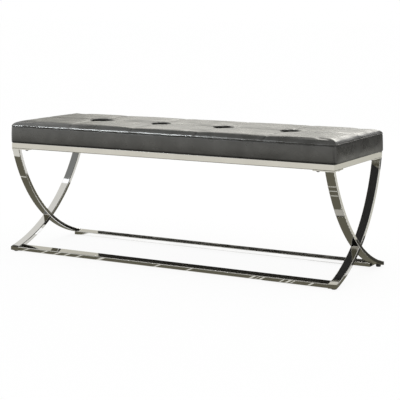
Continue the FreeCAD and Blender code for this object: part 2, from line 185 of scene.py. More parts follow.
floor_card("dim_ceiling_card", -1.45, 0.9, -0.4, 1.5, ceiling_height, ceiling)
floor_card("dim_left_ceiling_card", -2.7, -1.45, 1.38, 1.9, ceiling_height, ceiling)
floor_card("left_top_card", -1.3, -0.85, -0.62, -0.44, second_layer, pale_line)
floor_card("left_thin_card", -0.95, -0.7, -0.236, -0.229, second_layer, pale_line)
line_places = [(-0.58, 8), (-0.5, 8), (-0.447, 8), (-0.406, 9), (-0.356, 8), (-0.27, 15), (-0.044, 8),
               (0.077, 8), (0.305, 9), (0.326, 3), (0.34, 7), (0.41, 5), (0.43, 9), (0.448, 4), (0.507, 8)]
line_front, line_back = -0.27, -0.204
for number, (x, millimetres) in enumerate(line_places):
    end = x + millimetres / 1000
    floor_card(f"light_line_{number}", x, end, line_front, line_back, third_layer, pale_line)
for number, (y, thickness) in enumerate([(-0.53, 0.03), (-0.38, 0.006), (-0.34, 0.005), (-0.3, 0.005)]):
    floor_card(f"cross_line_{number}", 0.2, 0.7, y - thickness, y, second_layer, pale_line)

# %% [markdown]
# Three soft lamps. A long one overhead to the left lights only the leather and draws the bright thread of
# light along its edge. A wide one behind the bench gives the leather top its sheen, and a smaller,
# brighter one beside it lights the rounded edge of the near end. Blender's light linking keeps the first
# lamp off the chrome.

# %% Lamps
def soft_lamp(name, place, aim, width, height, brightness, colour):
    """A soft rectangle of light; brightness 1 is as bright as the white room."""
    lamp = bpy.data.lights.new(name, "AREA")
    lamp.shape = "RECTANGLE"
    lamp.size = width
    lamp.size_y = height
    lamp.energy = brightness * math.pi * width * height
    lamp.color = colour
    holder = bpy.data.objects.new(name, lamp)
    holder.location = place
    if aim:
        holder.rotation_euler = (Vector(aim) - Vector(place)).to_track_quat("-Z", "Y").to_euler()
    scene.collection.objects.link(holder)
    return holder


leather_light = bpy.data.collections.new("lit_by_the_strip")
strip = soft_lamp("overhead_strip", (-1.75, -0.95, 2.4), None, 1.5, 0.38, 68.0, (0.9, 0.95, 1.0))
strip.light_linking.receiver_collection = leather_light
soft_lamp("back_softbox", (-1.35, 3.2, 1.6), (0.0, 0.0, 0.45), 2.2, 1.1, 1.1, (1.0, 0.98, 0.92))
soft_lamp("end_softbox", (-0.15, 3.2, 1.7), (0.6, 0.0, 0.45), 1.4, 0.9, 3.0, (1.0, 0.98, 0.93))
print("lamps placed:", len(bpy.data.lights))

# %% [markdown]
# Finishes are built from small node recipes. Each one starts from Blender's Principled shader, reads the
# object's own coordinates in metres so that grain and scratches keep their real size, and sends noise to
# colour, roughness and bump.

# %% Helpers for finishes
def finish_recipe(name):
    """A new material with its Principled shader and a source of coordinates in metres."""
    material, output = blank_material(name)
    nodes = material.node_tree.nodes
    shader = nodes.new("ShaderNodeBsdfPrincipled")
    place = nodes.new("ShaderNodeTexCoord")
    material.node_tree.links.new(shader.outputs[0], output.inputs["Surface"])
    return material, shader, place.outputs["Object"]


def join(material, source, target):
    material.node_tree.links.new(source, target)


def noise_in(material, place, scale, detail=4.0, rough=0.55, stretch=None):
    """Soft clouds; a stretch gives streaks along an axis."""
    nodes = material.node_tree.nodes
    clouds = nodes.new("ShaderNodeTexNoise")
    clouds.inputs["Scale"].default_value = scale
    clouds.inputs["Detail"].default_value = detail
    clouds.inputs["Roughness"].default_value = rough
    if stretch:
        mapping = nodes.new("ShaderNodeMapping")
        mapping.inputs["Scale"].default_value = stretch
        join(material, place, mapping.inputs["Vector"])
        place = mapping.outputs[0]
    join(material, place, clouds.inputs["Vector"])
    return clouds.outputs["Fac"]


def cells_in(material, place, scale, feature="F1", jitter=1.0):
    """Distance to the nearest of many scattered points, or to the edges between their cells."""
    cells = material.node_tree.nodes.new("ShaderNodeTexVoronoi")
    cells.feature = feature
    cells.inputs["Scale"].default_value = scale
    cells.inputs["Randomness"].default_value = jitter
    join(material, place, cells.inputs["Vector"])
    return cells.outputs["Distance"]


def ramp(material, source, stops):
    """Turns a number into a colour by stops of (place, colour)."""
    scale = material.node_tree.nodes.new("ShaderNodeValToRGB")
    band = scale.color_ramp
    while len(band.elements) < len(stops):
        band.elements.new(0.5)
    for element, (at, colour) in zip(band.elements, stops):
        element.position = at
        element.color = (*colour, 1)
    join(material, source, scale.inputs["Fac"])
    return scale.outputs["Color"]


def spread(material, source, low, high, start=0.3, end=0.7):
    """Maps the middle of a noise to the range from low to high."""
    fit = material.node_tree.nodes.new("ShaderNodeMapRange")
    fit.inputs["From Min"].default_value = start
    fit.inputs["From Max"].default_value = end
    fit.inputs["To Min"].default_value = low
    fit.inputs["To Max"].default_value = high
    join(material, source, fit.inputs["Value"])
    return fit.outputs["Result"]


def bumps(material, shader, layers):
    """Stacks heights, each (source, strength, depth in metres), into the shader's normal."""
    previous = None
    for source, strength, depth in layers:
        bump = material.node_tree.nodes.new("ShaderNodeBump")
        bump.inputs["Strength"].default_value = strength
        bump.inputs["Distance"].default_value = depth
        join(material, source, bump.inputs["Height"])
        if previous:
            join(material, previous, bump.inputs["Normal"])
        previous = bump.outputs["Normal"]
    join(material, previous, shader.inputs["Normal"])


# %% [markdown]
# The leather-look cover is black with a fine pebble grain of about a millimetre and a half. Its gloss is
# uneven: the pebbles are smooth on top and dull in the cracks between them, and a cloudy roughness keeps
# wide panels alive. Later each point of the cushion carries a number of painted shade, from 0 on open
# leather to 1 deep in a tuft. The recipe reads it and paints shade: it takes away colour and shine where
# hardly any light gets in.

# %% Black leather
def make_leather(name, base, roughness):
    """Grained leather of one base colour and a mean roughness."""
    material, shader, place = finish_recipe(name)
    clouds = noise_in(material, place, 22, 5)
    darker = [value * 0.8 for value in base]
    lighter = [value * 1.2 for value in base]
    tone = ramp(material, clouds, [(0.3, darker), (0.7, lighter)])
    # painted shade: an attribute on the cushion darkens the base colour towards a tenth of it and fades the
    # shine in the tufts, seams, groove and hem
    depth = material.node_tree.nodes.new("ShaderNodeAttribute")
    depth.attribute_name = "painted_shade"
    painted_shade = depth.outputs["Fac"]
    # a Mix node has sockets for several kinds of data; for colours they are 6 and 7, and 2 for the result
    shade = material.node_tree.nodes.new("ShaderNodeMix")
    shade.data_type = "RGBA"
    join(material, painted_shade, shade.inputs[0])
    join(material, tone, shade.inputs[6])
    shade.inputs[7].default_value = (*[value * 0.1 for value in base], 1)
    join(material, shade.outputs[2], shader.inputs["Base Color"])
    pebbles = cells_in(material, place, 620)
    cracks = cells_in(material, place, 210, "DISTANCE_TO_EDGE")
    pores = noise_in(material, place, 1900, 2)
    wrinkle = noise_in(material, place, 60, 3, 0.5, (1.0, 0.35, 1.0))
    gloss = noise_in(material, place, 20, 4, 0.5, (0.6, 1, 1))
    join(material, spread(material, gloss, roughness - 0.08, roughness + 0.1), shader.inputs["Roughness"])
    join(material, spread(material, painted_shade, 0.5, 0.02, 0, 1), shader.inputs["Specular IOR Level"])
    shader.inputs["Specular Tint"].default_value = (1.0, 0.99, 0.95, 1)
    crack_line = spread(material, cracks, 0, 1, 0.0, 0.09)
    bumps(material, shader, [(wrinkle, 0.06, 0.001), (crack_line, 0.045, 0.0002), (pebbles, 0.06, 0.0002),
                             (pores, 0.03, 0.0001)])
    return material


leather = make_leather("black_leather", (0.041, 0.04, 0.037), 0.28)
print("leather with", len(leather.node_tree.nodes), "nodes")

# %% [markdown]
# The tube is bright chrome plate. It is nearly a mirror, with faint polishing streaks along it, cloudy
# finger marks and a few hairline scratches. The streaks are noise that has been stretched until it turns
# into lines.

# %% Chrome
def make_chrome(name, streak_stretch):
    """Polished plate whose streaks run the way they are stretched."""
    material, shader, place = finish_recipe(name)
    marks = noise_in(material, place, 9, 5)
    tint = ramp(material, marks, [(0.3, (0.56, 0.55, 0.515)), (0.7, (0.62, 0.61, 0.575))])
    join(material, tint, shader.inputs["Base Color"])
    shader.inputs["Metallic"].default_value = 1.0
    smears = noise_in(material, place, 34, 6, 0.65)
    join(material, spread(material, smears, 0.02, 0.07), shader.inputs["Roughness"])
    streaks = noise_in(material, place, 900, 3, 0.6, streak_stretch)
    ripple = noise_in(material, place, 26, 2, 0.4)
    bumps(material, shader, [(ripple, 0.05, 0.001), (streaks, 0.02, 0.00005)])
    return material


rail_chrome = make_chrome("chrome_along", (0.02, 1, 1))
leg_chrome = make_chrome("chrome_legs", (1, 0.03, 0.03))
print("chrome with", len(rail_chrome.node_tree.nodes), "nodes")

# %% [markdown]
# Metal fittings: the bolts and their washers are blacked in oil and a little worn, and the tee nuts, the
# anchors and the staples are zinc plated, with the faint crystals of zinc. On real things wear changes
# colour and gloss together, so a helper lets one texture lead both.

# %% Metal fittings
def follow(material, shader, texture, stops, low, high):
    """One texture leads the colour, by stops, and the roughness, from low to high."""
    join(material, ramp(material, texture, stops), shader.inputs["Base Color"])
    join(material, spread(material, texture, low, high), shader.inputs["Roughness"])


def make_dark_steel(name):
    material, shader, place = finish_recipe(name)
    wear = noise_in(material, place, 300, 5, 0.6)
    follow(material, shader, wear, [(0.35, (0.018, 0.018, 0.02)), (0.75, (0.07, 0.068, 0.065))], 0.3, 0.5)
    shader.inputs["Metallic"].default_value = 0.85
    bumps(material, shader, [(noise_in(material, place, 2500, 3), 0.15, 0.0001)])
    return material


def make_zinc(name):
    material, shader, place = finish_recipe(name)
    spangle = cells_in(material, place, 260)
    tone = ramp(material, spangle, [(0.1, (0.52, 0.53, 0.55)), (0.8, (0.66, 0.67, 0.68))])
    join(material, tone, shader.inputs["Base Color"])
    shader.inputs["Metallic"].default_value = 1.0
    dullness = noise_in(material, place, 180, 4)
    join(material, spread(material, dullness, 0.25, 0.45), shader.inputs["Roughness"])
    bumps(material, shader, [(noise_in(material, place, 1400, 3), 0.1, 0.0001)])
    return material


dark_steel = make_dark_steel("dark_steel")
zinc = make_zinc("zinc_steel")
print("metals:", dark_steel.name, zinc.name)

# %% [markdown]
# The glides under the feet are moulded nylon, with the sparkled texture of their mould. Below the seat is
# a thin cloth of pressed fibres with rows of bonded dots, which a cell texture without any jitter gives.

# %% Nylon and dust cloth
def make_nylon(name):
    material, shader, place = finish_recipe(name)
    clouds = noise_in(material, place, 120, 4)
    follow(material, shader, clouds, [(0.3, (0.012, 0.012, 0.013)), (0.7, (0.028, 0.028, 0.029))], 0.42, 0.58)
    bumps(material, shader, [(cells_in(material, place, 1600), 0.3, 0.00015)])
    return material


def make_dust_cloth(name):
    material, shader, place = finish_recipe(name)
    fibres = noise_in(material, place, 700, 6, 0.7)
    follow(material, shader, fibres, [(0.3, (0.014, 0.014, 0.015)), (0.7, (0.04, 0.04, 0.042))], 0.75, 0.95)
    dots = spread(material, cells_in(material, place, 330, "F1", 0.0), 0, 1, 0.15, 0.35)
    bumps(material, shader, [(dots, 0.4, 0.0003), (fibres, 0.4, 0.0002)])
    return material


nylon = make_nylon("black_nylon")
dust_cloth = make_dust_cloth("dust_cloth")
print("plastics:", nylon.name, dust_cloth.name)

# %% [markdown]
# The plywood board, the foam and the twine of the tufts are hidden, but a part in a library may be taken
# apart, so they are finished too. Plywood grain is noise stretched along the board, foam is a cell
# texture of small bubbles, and the black sewing thread is twine in another colour.

# %% Hidden pieces and thread
def make_plywood(name):
    material, shader, place = finish_recipe(name)
    grain = noise_in(material, place, 60, 6, 0.6, (0.12, 1, 1))
    follow(material, shader, grain, [(0.3, (0.36, 0.22, 0.11)), (0.7, (0.58, 0.4, 0.23))], 0.55, 0.75)
    bumps(material, shader, [(grain, 0.3, 0.0004)])
    return material


def make_foam(name):
    material, shader, place = finish_recipe(name)
    bubbles = cells_in(material, place, 900)
    follow(material, shader, bubbles, [(0.1, (0.5, 0.44, 0.28)), (0.7, (0.78, 0.72, 0.52))], 0.85, 0.98)
    bumps(material, shader, [(bubbles, 0.5, 0.0005)])
    return material


def make_twine(name, base):
    material, shader, place = finish_recipe(name)
    twist = noise_in(material, place, 1500, 3, 0.5, (1, 1, 0.4))
    follow(material, shader, twist, [(0.3, [value * 0.6 for value in base]), (0.7, base)], 0.55, 0.75)
    bumps(material, shader, [(twist, 0.5, 0.0002)])
    return material


plywood = make_plywood("plywood")
foam = make_foam("foam")
twine = make_twine("twine", (0.5, 0.46, 0.38))
thread = make_twine("black_thread", (0.03, 0.029, 0.028))
print("hidden:", plywood.name, foam.name, twine.name, "and", thread.name)

# %% [markdown]
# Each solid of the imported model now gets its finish. Its mesh stays as it came; only its material slots
# change.

# %% Dress the solids
leg_names = [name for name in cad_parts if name.endswith("_leg") or name == "foot_end_plates"]
rail_names = [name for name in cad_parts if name.endswith("_rail") or name.endswith("leg_plate")]
rail_names.append("floor_rail_end_plates")
glide_names = [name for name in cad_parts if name.endswith("_glide")]
dressed = {
    rail_chrome: rail_names,
    leg_chrome: leg_names,
    nylon: glide_names,
    dark_steel: ["leg_plate_bolts", "leg_plate_washers"],
    zinc: ["tee_nuts", "tuft_anchors"],
    plywood: ["seat_board"],
    foam: ["seat_foam"],
    dust_cloth: ["dust_cover"],
    twine: ["tuft_ties"],
    leather: ["seat_top_cover", "seat_side_cover", "tuft_buttons"],
}
for material, names in dressed.items():
    for name in names:
        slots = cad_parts[name].data.materials
        slots.clear()
        slots.append(material)
undressed = set(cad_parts) - {name for names in dressed.values() for name in names}
print("dressed", sum(len(names) for names in dressed.values()), "nodes, left over:", sorted(undressed))

# %% [markdown]
# The seat is a boxed cushion: a top of two rows of five panels, four deep tufts where the seams cross,
# and a side band sewn to the top a little below the edge. The top rolls over wide on the long sides and
# tight at the ends, where the cover hangs over the board by a few millimetres. The outer sizes are taken
# from the solids that the cushion replaces; the rest are lengths in metres that an upholsterer would
# choose.

# %% The cushion's measures
low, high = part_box("seat_side_cover")
half_length = high.x
half_depth = high.y
seat_bottom = low.z
side_seam = high.z
crown_rise = 0.0025
top_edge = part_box("seat_top_cover")[1].z - crown_rise
tuft_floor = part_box("tuft_buttons")[0].z
long_roll = 0.026
long_turn = math.radians(54)
end_roll = 0.017
end_turn = math.radians(78)
bottom_round = 0.003
corner_round = 0.014
belly = 0.002
end_overhang = 0.004
end_lean = 0.003
long_draw = 0.003
end_draw = 0.002
seam_width = 0.004
columns = 5
cross_seams = [half_length * (2 * i / columns - 1) for i in range(1, columns)]
tufts = [(x, 0.0) for x in cross_seams]
tuft_radius = 0.040
tuft_rim = 0.005
floor_radius = 0.021
print("cushion", round(2 * half_length, 3), "by", round(2 * half_depth, 3))
print("tufts at", [round(x, 3) for x, y in tufts])

# %% [markdown]
# The cushion begins as a net of points over a box without a bottom, because on a net the seams can run
# along its lines. The lines lie closer together by the hem and the side seam, where the shape turns most.

# %% The net of points
def net_lines():
    """Lines of the net along the length, across the depth and up the sides."""
    along = np.linspace(-half_length, half_length, 201)
    across = np.linspace(-half_depth, half_depth, 69)
    hem = [seat_bottom, seat_bottom + 0.001]
    band = np.linspace(seat_bottom + 0.003, side_seam - 0.009, 9)
    seam = side_seam + np.array([-0.006, -0.003, 0.0, 0.003, 0.006])
    return along, across, np.concatenate([hem, band, seam, [top_edge - 0.003, top_edge]])


def boxed_net():
    """The top and the four sides as one open sheet of quads, in box coordinates."""
    along, across, up = net_lines()
    places = {}
    points = []

    def point(i, j, k):
        key = (i, j, k)
        if key not in places:
            places[key] = len(points)
            points.append((along[i], across[j], up[k]))
        return places[key]

    def quad(*corners):
        quads.append(tuple(point(*corner) for corner in corners))

    top = len(up) - 1
    last_i = len(along) - 1
    last_j = len(across) - 1
    quads = []
    for i in range(last_i):
        for j in range(last_j):
            quad((i, j, top), (i + 1, j, top), (i + 1, j + 1, top), (i, j + 1, top))
    for k in range(top):
        for i in range(last_i):
            quad((i, 0, k), (i + 1, 0, k), (i + 1, 0, k + 1), (i, 0, k + 1))
            quad((i + 1, last_j, k), (i, last_j, k), (i, last_j, k + 1), (i + 1, last_j, k + 1))
        for j in range(last_j):
            quad((0, j + 1, k), (0, j, k), (0, j, k + 1), (0, j + 1, k + 1))
            quad((last_i, j, k), (last_i, j + 1, k), (last_i, j + 1, k + 1), (last_i, j, k + 1))
    return np.array(points), quads


net, quads = boxed_net()
on_top = net[:, 2] > top_edge - 1e-6
print("net of", len(net), "points and", len(quads), "quads")

# %% [markdown]
# Now the net takes the cushion's outer form. Its edges are rolled over by turning each point about a core
# inside the box, as one would wrap a sheet round a block with rounded edges. The band bellies out a
# little on the long sides and leans in at the ends.

# %% Round the box
def rounded(points):
    """The box with a roll from the top to the side seam, close corners and a small lower round."""
    core = points.copy()
    core[:, 0] = np.clip(points[:, 0], end_roll - half_length, half_length - end_roll)
    core[:, 1] = np.clip(points[:, 1], long_roll - half_depth, half_depth - long_roll)
    core[:, 2] = np.minimum(points[:, 2], side_seam)
    width = np.array([end_roll, long_roll])
    offset = (points - core) / np.array([end_roll, long_roll, top_edge - side_seam])
    sideways = np.linalg.norm(offset[:, :2], axis=1)
    out = offset[:, :2] / np.maximum(sideways, 1e-9)[:, None]
    # the roll meets the side seam after a part of a quarter turn, more at the ends than on the long sides
    full_turn = long_turn + (end_turn - long_turn) * out[:, 0] ** 2
    turn = np.arctan2(sideways, offset[:, 2]) * full_turn / (math.pi / 2)
    reach = np.sin(turn) / np.sin(full_turn)
    rise = 1 - (1 - np.cos(turn)) / (1 - np.cos(full_turn))
    shaped = core.copy()
    shaped[:, :2] += out * width * reach[:, None]
    shaped[:, :2] += (width - corner_round) * reach[:, None] * np.sign(out) * (1 - np.abs(out))
    shaped[:, 2] += (top_edge - side_seam) * rise
    # below the seam: the lower round tucks in, the belly and the overhang push out
    low = np.clip(seat_bottom + bottom_round - points[:, 2], 0, bottom_round)
    tuck = bottom_round - np.sqrt(bottom_round ** 2 - low ** 2)
    up = np.clip((points[:, 2] - seat_bottom) / (side_seam - seat_bottom), 0, 1)
    at_end = out[:, 0] ** 2
    bulge = (1 - at_end) * belly * np.sin(math.pi * up)
    bulge += at_end * (end_overhang - end_lean * up)
    shaped[:, :2] += out * (bulge - tuck)[:, None]
    return shaped


def drawn_in(points):
    """The sides pull in a little between the corners."""
    shaped = points.copy()
    u = points[:, 0] / half_length
    v = points[:, 1] / half_depth
    shaped[:, 1] -= long_draw * (1 - u ** 2) * np.sign(v) * np.abs(v) ** 6
    shaped[:, 0] -= end_draw * (1 - v ** 2) * np.sign(u) * np.abs(u) ** 6
    return shaped


box_form = drawn_in(rounded(net))
print("rounded to", np.round(box_form.max(axis=0) - box_form.min(axis=0), 4))

# %% [markdown]
# Then the top is modelled: each panel swells, each seam sinks, and each tuft is a deep pit with a round
# rim, drawn out along the seat where the seam pulls at it. No two tufts are tied equally hard, so their
# widths differ.

# %% Shape the panels and tufts
def panel_crown(x, y, fullness):
    """How far a panel's filling lifts it: nothing at its seams, most in its middle."""
    u = np.mod((x / half_length + 1) * columns / 2, 1) * 2 - 1
    v = np.mod(np.abs(y) / half_depth, 1) * 2 - 1
    return fullness * (1 - np.abs(u) ** 2.4) * (1 - np.abs(v) ** 2.4)


def nearest_cross_seam(x):
    """Distance to the nearest seam across the seat."""
    return np.min(np.abs(x[:, None] - np.array(cross_seams)[None, :]), axis=1)


tuft_widths = [1.2, 0.96, 1.04, 0.9]


def tuft_distance(x, y):
    """Distance to the nearest tuft, measured so that a tuft is a lens with its points along the seat."""
    gaps = []
    for (tuft_x, tuft_y), width in zip(tufts, tuft_widths):
        along = (x - tuft_x) / width
        across = (y - tuft_y) * (1 + 0.4 * np.minimum(along / 0.03, 1.3) ** 2) / width
        gaps.append(np.hypot(along, across))
    return np.min(np.array(gaps), axis=0)


def pit_height(reach):
    """Height of a tuft's pit: a flat floor for the button, a steep wall and a round rim."""
    rim_z = top_edge + 0.001 - tuft_rim
    run = tuft_radius - floor_radius
    drop = rim_z - tuft_floor
    slope = math.atan2(drop, run) + math.asin(tuft_rim / math.hypot(run, drop))
    inward = np.clip(tuft_radius - reach, 0, run)
    rim_end = tuft_rim * math.sin(slope)
    on_rim = rim_z + np.sqrt(np.maximum(tuft_rim ** 2 - inward ** 2, 0))
    on_wall = rim_z + tuft_rim * math.cos(slope) - (inward - rim_end) * math.tan(slope)
    return np.maximum(np.where(inward < rim_end, on_rim, on_wall), tuft_floor)


def smooth_lower(a, b, blend):
    """The lower of two heights, with a soft corner between them."""
    mix = np.clip(0.5 + 0.5 * (b - a) / blend, 0, 1)
    return b + (a - b) * mix - blend * mix * (1 - mix)


def shape_top(points, fullness, groove):
    """Lifts the panels, sinks the seams and the tufts."""
    shaped = points.copy()
    x, y = points[:, 0], points[:, 1]
    fade = 0.02
    inside = np.clip((half_depth - np.abs(y)) / fade, 0, 1) * np.clip((half_length - np.abs(x)) / fade, 0, 1)
    lift = panel_crown(x, y, fullness)
    seam = groove * np.exp(-(nearest_cross_seam(x) / seam_width) ** 2)
    seam = np.maximum(seam, groove * np.exp(-(y / seam_width) ** 2))
    height = points[:, 2] + inside * (lift - seam)
    reach = tuft_distance(x, y)
    pit = np.where(reach < tuft_radius, pit_height(reach), 1.0)
    height = np.where(reach < tuft_radius + 0.01, smooth_lower(height, pit, 0.002), height)
    shaped[:, 2] = np.where(on_top, height, points[:, 2])
    return shaped


start = shape_top(box_form, fullness=0.0012, groove=0.0007)
print("start form, top at", round(start[:, 2].max(), 4))

# %% [markdown]
# Filling: the net becomes Blender cloth and is blown up a little from inside, as foam swells a cover. The
# seams, the tufts and the lower edge are pinned, because thread and buttons hold them down. What comes
# out is never quite regular, which is the reason to simulate at all. A point that moves further than a
# limit of about two millimetres is brought back to it, so the seat keeps its size.

# %% Fill the cover
def add_piece(name, mesh, material):
    """A smooth mesh that belongs to the bench."""
    mesh.materials.append(material)
    for polygon in mesh.polygons:
        polygon.use_smooth = True
    piece = bpy.data.objects.new(name, mesh)
    scene.collection.objects.link(piece)
    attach(piece, "root")
    if material is leather:
        leather_light.objects.link(piece)
    return piece


def cushion_piece(points):
    """The cushion's object, from the points of the net."""
    mesh = bpy.data.meshes.new("seat_cushion")
    mesh.from_pydata([tuple(point) for point in points], [], quads)
    return add_piece("seat_cushion", mesh, leather)


def hold(points):
    """How firmly each point is held, from 0 to 1."""
    x, y, z = points.T
    held = np.where(z < seat_bottom + 0.008, 1.0, 0.0)
    seams = np.exp(-(nearest_cross_seam(x) / seam_width) ** 2) + np.exp(-(y / seam_width) ** 2)
    held = np.maximum(held, np.where(on_top, 0.35 * np.clip(seams, 0, 1), 0))
    held = np.maximum(held, 0.7 * np.exp(-((net[:, 2] - side_seam) / 0.003) ** 2))
    return np.maximum(held, np.where(tuft_distance(x, y) < 0.024, 1.0, 0.0) * on_top)


def filled(points, held, most, frames):
    """The cover after some frames of filling, as points; no point goes further than most."""
    cover = cushion_piece(points)
    group = cover.vertex_groups.new(name="held")
    for index, weight in enumerate(held):
        if weight > 0.02:
            group.add([index], float(weight), "REPLACE")
    cloth = cover.modifiers.new("filling", "CLOTH")
    cloth.settings.quality = 5
    cloth.settings.mass = 0.4
    cloth.settings.tension_stiffness = 30
    cloth.settings.compression_stiffness = 30
    cloth.settings.shear_stiffness = 12
    cloth.settings.bending_stiffness = 1.5
    cloth.settings.use_pressure = True
    cloth.settings.uniform_pressure_force = 4
    cloth.settings.effector_weights.gravity = 0
    cloth.settings.vertex_group_mass = "held"
    cloth.collision_settings.use_collision = False
    for step in range(1, frames + 1):
        scene.frame_set(step)
    settled = cover.evaluated_get(bpy.context.evaluated_depsgraph_get()).to_mesh()
    flat = np.empty(len(points) * 3)
    settled.vertices.foreach_get("co", flat)
    cover.modifiers.remove(cloth)
    cover.vertex_groups.clear()
    scene.frame_set(1)
    move = flat.reshape(-1, 3) - points
    far = np.linalg.norm(move, axis=1)
    scale = np.where(far > most, most / np.maximum(far, 1e-9), 1)
    return cover, points + move * scale[:, None], far


cushion, cushion_points, travel = filled(start, hold(start), most=0.0018, frames=20)
print("filled: mean move", round(travel.mean() * 1000, 2), "mm before the limit is kept")
cushion.data.vertices.foreach_set("co", cushion_points.ravel())
print("cushion top", round(cushion_points[:, 2].max(), 4))

# %% [markdown]
# After the filling comes the fine work, on a net that is twice as close. Each tuft gathers the leather
# into folds that fan out and fade. The band's seam is sewn with a little too much leather, so it puckers
# in small puffs above a narrow groove. Foam is never level, so slow noise lifts and sinks the whole cover
# by less than a millimetre.

# %% Subdivide and fold
def subdivided(piece):
    """One round of subdivision, applied."""
    finer = piece.modifiers.new("finer", "SUBSURF")
    finer.levels = finer.render_levels = 1
    evaluated = piece.evaluated_get(bpy.context.evaluated_depsgraph_get())
    mesh = bpy.data.meshes.new_from_object(evaluated)
    piece.modifiers.remove(finer)
    old = piece.data
    piece.data = mesh
    bpy.data.meshes.remove(old)


def vertex_values(piece, what):
    """The places ("co") or the outward directions ("normal") of all vertices."""
    flat = np.empty(len(piece.data.vertices) * 3)
    piece.data.vertices.foreach_get(what, flat)
    return flat.reshape(-1, 3)


subdivided(cushion)
draw = np.random.RandomState(7)


def tuft_folds(points):
    """Depth of the folds that fan out from the tufts."""
    fold_start = 0.012
    depth = np.zeros(len(points))
    for tuft_x, tuft_y in tufts:
        away_x = points[:, 0] - tuft_x
        away_y = points[:, 1] - tuft_y
        reach = np.hypot(away_x, away_y)
        turn = np.arctan2(away_y, away_x)
        for fold in range(8):
            aim = math.radians(45 * fold + draw.uniform(-13, 13))
            length = draw.uniform(0.035, 0.075)
            strength = draw.uniform(0.0008, 0.0022)
            bend = draw.uniform(-3, 3)
            lean = np.mod(turn - aim - bend * reach + math.pi, 2 * math.pi) - math.pi
            aside = np.abs(lean) * np.maximum(reach, 0.004)
            width = 0.0028 + 0.03 * np.maximum(reach - fold_start, 0)
            fade = np.clip(1 - (reach - fold_start) / length, 0, 1) * np.clip(reach / fold_start, 0, 1)
            depth += strength * fade * np.exp(-(aside / width) ** 2)
    return depth


def slow_unevenness(points):
    """The gentle ups and downs of foam under leather."""
    spots = [Vector(point) for point in points]
    return np.array([noise.noise(spot * 9) + 0.5 * noise.noise(spot * 23) for spot in spots])


puff_step = 0.026


def way_round(points):
    """Distance walked round the cushion's outline, roughly."""
    x, y = points[:, 0], points[:, 1]
    on_long = (half_depth - np.abs(y)) < (half_length - np.abs(x))
    return np.where(on_long, x * np.sign(-y) + 2.0, y * np.sign(x) + 5.0)


def seam_puckers(points):
    """The band's seam: a narrow groove below it, and soft puffs above it."""
    walk = way_round(points)
    from_seam = points[:, 2] - side_seam
    pace = walk / puff_step + 0.9 * np.sin(walk * 17.3) + 0.6 * np.sin(walk * 41.7 + 1.3)
    puff = 0.5 + 0.5 * np.cos(2 * math.pi * pace)
    near = np.exp(-((from_seam - 0.003) / 0.004) ** 2)
    groove = 0.0016 * np.exp(-((from_seam + 0.0028) / 0.0018) ** 2)
    return 0.0006 * puff * near - groove


def edge_notches(points, outward):
    """Where a panel seam runs over the top edge, its thread nicks the edge."""
    over_edge = np.clip(1 - np.abs(outward[:, 2] - 0.7) / 0.45, 0, 1)
    at_cross = np.exp(-(nearest_cross_seam(points[:, 0]) / 0.0045) ** 2) * (np.abs(points[:, 1]) > 0.15)
    return 0.0014 * over_edge * at_cross


fine = vertex_values(cushion, "co")
outward = vertex_values(cushion, "normal")
side_facing = np.clip(1 - np.abs(outward[:, 2]) * 1.2, 0, 1)
top_facing = np.clip(outward[:, 2], 0, 1)
shift = -tuft_folds(fine) * top_facing
shift += 0.0007 * slow_unevenness(fine) * np.clip((fine[:, 2] - seat_bottom) / 0.03, 0, 1)
shift += seam_puckers(fine) * side_facing
shift -= edge_notches(fine, outward)
fine = fine + outward * shift[:, None]
cushion.data.vertices.foreach_set("co", fine.ravel())
print("folded", len(fine), "points, top", round(fine[:, 2].max(), 4))

# %% [markdown]
# Under the seat the cover is turned in over the board as a hem. From there it goes up and is shut inside
# the board, out of sight, so that the cushion is one closed form.

# %% Close the underside
def close_below(piece, hem, inner_level):
    """Turns the cover under the board as a hem, and shuts it out of sight inside the board."""
    form = bmesh.new()
    form.from_mesh(piece.data)
    rim = [edge for edge in form.edges if edge.is_boundary]
    for vertex in {vertex for edge in rim for vertex in edge.verts}:
        vertex.co.z = seat_bottom
    shrink = Vector(((half_length - hem) / half_length, (half_depth - hem) / half_depth, 1))
    for step, level in ((shrink, seat_bottom), (Vector((1, 1, 1)), inner_level)):
        made = bmesh.ops.extrude_edge_only(form, edges=rim)["geom"]
        rim = [item for item in made if isinstance(item, bmesh.types.BMEdge) and item.is_boundary]
        for vertex in {vertex for edge in rim for vertex in edge.verts}:
            vertex.co = Vector((vertex.co.x * step.x, vertex.co.y * step.y, level))
    made = bmesh.ops.edgeloop_fill(form, edges=rim)
    bmesh.ops.recalc_face_normals(form, faces=form.faces)
    form.to_mesh(piece.data)
    form.free()
    return len(made["faces"])


board_low, board_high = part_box("seat_board")
hem_width = 0.036
print("underside closed with", close_below(cushion, hem_width, (board_low.z + board_high.z) / 2), "face")
for polygon in cushion.data.polygons:
    polygon.use_smooth = True

# %% [markdown]
# Now each point is told how much shade to paint on it, for the leather recipe to read: most in the tufts,
# less in the seams, in the groove below the band's seam and at the hem, where the cover turns under. This
# is painted shade, and at the hem a painted shadow line under the cushion.

# %% Mark the painted shade
def painted_shade_amount(points):
    """Painted shade: from 0 on open leather to 1 deep in a tuft, with something between in the seams."""
    x, y, z = points.T
    in_tuft = np.clip((top_edge + 0.0005 - z) / 0.0045, 0, 1) * (tuft_distance(x, y) < tuft_radius)
    across = np.exp(-(nearest_cross_seam(x) / 0.0025) ** 2)
    along = np.exp(-(y / 0.0025) ** 2)
    on_panels = 0.6 * np.maximum(across, along) * (z > top_edge - 0.008)
    # painted shade in the groove below the band's seam, and a painted shadow line along the hem
    at_band = 0.7 * np.exp(-((z - side_seam + 0.0028) / 0.0014) ** 2)
    at_hem = 0.75 * np.clip((seat_bottom + 0.0065 - z) / 0.004, 0, 1)
    return np.maximum.reduce([in_tuft, on_panels, at_band, at_hem])


